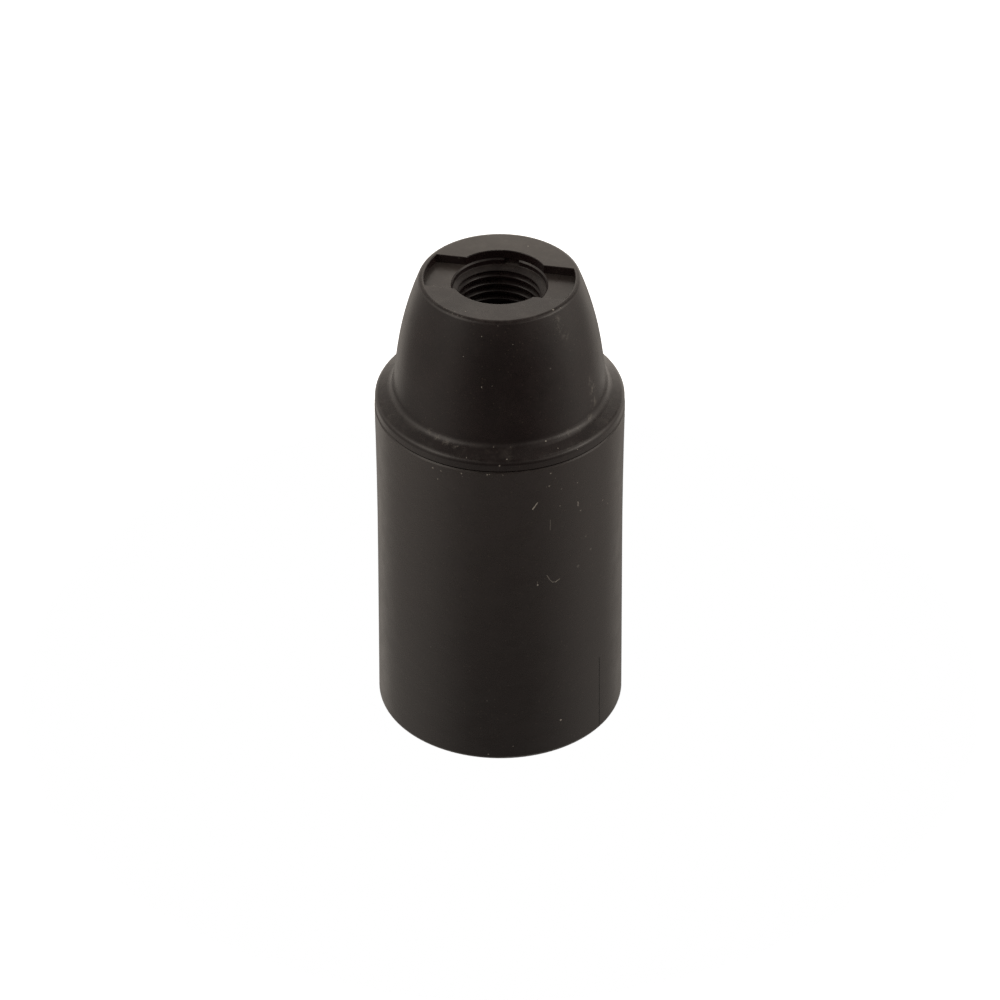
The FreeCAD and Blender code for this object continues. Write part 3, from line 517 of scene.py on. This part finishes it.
def ceramic(name):
    s = Shader(name)
    cloud = s.noise(180.0, 5.0, 0.6)
    base = s.mix(s.ramp(cloud, 0.35, 0.65), (0.74, 0.69, 0.60), (0.82, 0.78, 0.70))
    pits = s.add("ShaderNodeTexVoronoi", feature="F1")
    s.put(pits, "Vector", s.place)
    s.put(pits, "Scale", 1900.0)
    chance = s.add("ShaderNodeSeparateColor")
    s.link(pits.outputs["Color"], chance.inputs[0])
    pit = s.math("MULTIPLY", s.ramp(pits.outputs["Distance"], 0.22, 0.08), s.ramp(chance.outputs[0], 0.88, 0.93))
    s.put(s.bsdf, "Base Color", s.mix(s.math("MULTIPLY", pit, 0.7), base, (0.34, 0.29, 0.22)))
    s.put(s.bsdf, "Roughness", s.ramp(s.noise(900.0, 4.0, 0.6), 0.3, 0.7, 0.52, 0.66, kind="LINEAR"))
    s.bsdf.inputs["IOR"].default_value = 1.6
    chalk = s.bump(s.noise(4200.0, 4.0, 0.6), 0.000012)
    s.link(s.bump(s.math("MULTIPLY", pit, -1.0), 0.00004, normal=chalk), s.bsdf.inputs["Normal"])
    return s.mat


ROUGH = 0.27
cap_mat = moulding("moulding_cap", CAP_SPECKS, rubs_and_highlights=CAP_RUBS_AND_HIGHLIGHTS)
shell_mat = moulding("moulding_shell", SHELL_SPECKS, SHELL_STRANDS, scratch=SCRATCH, skirt_sheen=True)
thread_mat = moulding("moulding_thread", dust_and_sheen=0.6)
steatite = ceramic("steatite_cream")
brass = metal("brass_stamped", (0.83, 0.63, 0.28), (0.42, 0.27, 0.10), 0.26, brushed=(1.0, 0.08, 1.0))
bronze = metal("bronze_spring", (0.76, 0.47, 0.26), (0.36, 0.19, 0.09), 0.28, brushed=(0.08, 1.0, 1.0))
nickel = metal("nickel_plated", (0.70, 0.68, 0.64), (0.40, 0.37, 0.32), 0.24, tarnish=0.35)

FINISH = {
    "cap": cap_mat, "shell": shell_mat, "terminal_block": steatite,
    "centre_contact": bronze, "side_contact": bronze,
    "live_terminal_plate": brass, "neutral_terminal_plate": brass,
    "live_rivet": brass, "neutral_rivet": brass,
    "live_clamp_washer": nickel, "neutral_clamp_washer": nickel,
    "live_terminal_screw": nickel, "neutral_terminal_screw": nickel,
    "entry_thread": thread_mat, "cap_thread": thread_mat, "shell_thread": thread_mat,
    "live_screw_thread": nickel, "neutral_screw_thread": nickel,
}
for name, mat in FINISH.items():
    obj = NODES[name] if name in NODES else bpy.data.objects[name]
    obj.data.materials.clear()
    obj.data.materials.append(mat)

# -------------------------------------------------------------------- stage
floor_mesh = bpy.data.meshes.new("floor")
floor_mesh.from_pydata([(-3, -3, -0.00005), (3, -3, -0.00005), (3, 3, -0.00005), (-3, 3, -0.00005)],
                       [], [(0, 1, 2, 3)])
floor = bpy.data.objects.new("floor", floor_mesh)
bpy.context.scene.collection.objects.link(floor)
s = Shader("pale_floor")
s.bsdf.inputs["Base Color"].default_value = (0.86, 0.86, 0.86, 1.0)
s.bsdf.inputs["Roughness"].default_value = 1.0
s.bsdf.inputs["Specular IOR Level"].default_value = 0.0
s.bsdf.inputs["Emission Color"].default_value = (1.0, 1.0, 1.0, 1.0)
s.bsdf.inputs["Emission Strength"].default_value = 1.0
# see-through from below and close round the object, so that the underside and a piece
# that moves below the standing plane stay in view; both show the same pale ground
side = s.add("ShaderNodeNewGeometry").outputs["Backfacing"]
close = s.ramp(s.vec("LENGTH", s.place), 0.060, 0.055)
clear = s.add("ShaderNodeBsdfTransparent")
ground = s.add("ShaderNodeMixShader")
s.link(s.math("MAXIMUM", side, close), ground.inputs[0])
s.link(s.bsdf.outputs[0], ground.inputs[1])
s.link(clear.outputs[0], ground.inputs[2])
s.link(ground.outputs[0], s.out.inputs[0])
floor_mesh.materials.append(s.mat)
floor.visible_glossy = False
floor.visible_diffuse = False

# Soft studio light as broad lobes: (azimuth, elevation, narrowness, strength).
# Azimuth 0 lies behind the camera (towards -Y) and 90 on its right (+X).
LOBES = [
    (0, -60, 10, 0.35), (60, -60, 10, 0.56), (120, -60, 10, 0.34), (-120, -60, 10, 0.70),
    (-60, -60, 10, 0.58), (0, -25, 14, 0.06), (60, -25, 14, 0.13), (90, -25, 14, 0.28),
    (120, -25, 14, 0.12), (150, -25, 14, 0.35), (-150, -25, 14, 0.45), (-90, -25, 14, 0.26),
    (-60, -25, 14, 0.22), (-30, -25, 14, 0.04), (0, 5, 14, 0.07), (30, 5, 14, 0.10), (60, 5, 14, 0.29),
    (90, 5, 14, 0.88), (120, 5, 14, 0.43), (150, 5, 14, 1.01), (180, 5, 14, 1.21), (-150, 5, 14, 0.58),
    (-120, 5, 14, 0.52), (-90, 5, 14, 0.24), (-60, 5, 14, 0.46), (-30, 5, 14, 0.08), (0, 30, 14, 0.10),
    (30, 30, 14, 0.17), (60, 30, 14, 0.23), (-120, 30, 14, 0.20), (-90, 30, 14, 0.60),
    (-30, 30, 14, 0.34), (60, 55, 10, 0.15), (120, 55, 10, 0.29), (180, 55, 10, 0.14),
    (-120, 55, 10, 0.27), (0, 88, 14, 0.06), (40, 22, 60, 0.43), (56, 22, 60, 0.17),
    (-56, 22, 60, 1.17), (72, 22, 60, 2.90), (-72, 22, 60, 0.34), (88, 22, 60, 1.40),
    (-88, 22, 60, 0.53), (104, 22, 60, 0.62), (-104, 22, 60, 0.19), (-40, 38, 60, 0.42),
    (-56, 38, 60, 1.09), (-72, 38, 60, 1.60), (88, 38, 60, 0.96), (104, 38, 60, 0.41),
    (40, 54, 60, 0.05), (-72, 54, 60, 0.51), (88, 54, 60, 0.85), (-88, 54, 60, 0.35),
    (-30, -12, 40, 0.04), (180, 30, 60, 0.83), (180, 38, 60, 0.12), (180, 47, 60, 0.67),
    (150, 38, 60, 0.74), (-150, 38, 60, 0.46),
]
TINT = (1.0, 0.918, 0.825)
GAIN = 1.0

world = bpy.data.worlds.new("studio")
bpy.context.scene.world = world
world.use_nodes = True
tree = world.node_tree
tree.nodes.clear()


def world_node(kind, **props):
    node = tree.nodes.new(kind)
    for key, value in props.items():
        setattr(node, key, value)
    return node


heading = world_node("ShaderNodeTexCoord").outputs["Generated"]
total = None
for az, el, power, strength in LOBES:
    a, e = math.radians(az), math.radians(el)
    aim = (math.sin(a) * math.cos(e), -math.cos(a) * math.cos(e), math.sin(e))
    dot = world_node("ShaderNodeVectorMath", operation="DOT_PRODUCT")
    tree.links.new(heading, dot.inputs[0])
    dot.inputs[1].default_value = aim
    keep = world_node("ShaderNodeMath", operation="MAXIMUM")
    tree.links.new(dot.outputs["Value"], keep.inputs[0])
    keep.inputs[1].default_value = 0.0
    bend = world_node("ShaderNodeMath", operation="POWER")
    tree.links.new(keep.outputs[0], bend.inputs[0])
    bend.inputs[1].default_value = power
    scale = world_node("ShaderNodeMath", operation="MULTIPLY")
    tree.links.new(bend.outputs[0], scale.inputs[0])
    scale.inputs[1].default_value = strength * GAIN
    if total is None:
        total = scale.outputs[0]
    else:
        plus = world_node("ShaderNodeMath", operation="ADD")
        tree.links.new(total, plus.inputs[0])
        tree.links.new(scale.outputs[0], plus.inputs[1])
        total = plus.outputs[0]
soft = world_node("ShaderNodeBackground")
soft.inputs["Color"].default_value = (TINT[0], TINT[1], TINT[2], 1.0)
tree.links.new(total, soft.inputs["Strength"])
paper = world_node("ShaderNodeBackground")
paper.inputs["Color"].default_value = (1.0, 1.0, 1.0, 1.0)
paper.inputs["Strength"].default_value = 1.0
path = world_node("ShaderNodeLightPath")
either = world_node("ShaderNodeMixShader")
tree.links.new(path.outputs["Is Camera Ray"], either.inputs[0])
tree.links.new(soft.outputs[0], either.inputs[1])
tree.links.new(paper.outputs[0], either.inputs[2])
result = world_node("ShaderNodeOutputWorld")
tree.links.new(either.outputs[0], result.inputs["Surface"])

scene = bpy.context.scene
scene.view_settings.view_transform = "Standard"
scene.view_settings.look = "None"
scene.view_settings.exposure = 0.0
scene.view_settings.gamma = 1.0

# ------------------------------------------------------------------- camera
lens = bpy.data.cameras.new("camera")
lens.sensor_width = 36.0
lens.lens = 191.56
lens.clip_start = 0.01
lens.clip_end = 20.0
camera = bpy.data.objects.new("camera", lens)
scene.collection.objects.link(camera)
down = math.radians(35.7300 + 0.0544)
turn = Matrix.Rotation(math.pi / 2 - down, 4, "X") @ Matrix.Rotation(math.radians(-0.12), 4, "Z")
camera.matrix_world = Matrix.Translation((0.0, -0.48707, 0.37736)) @ turn
scene.camera = camera
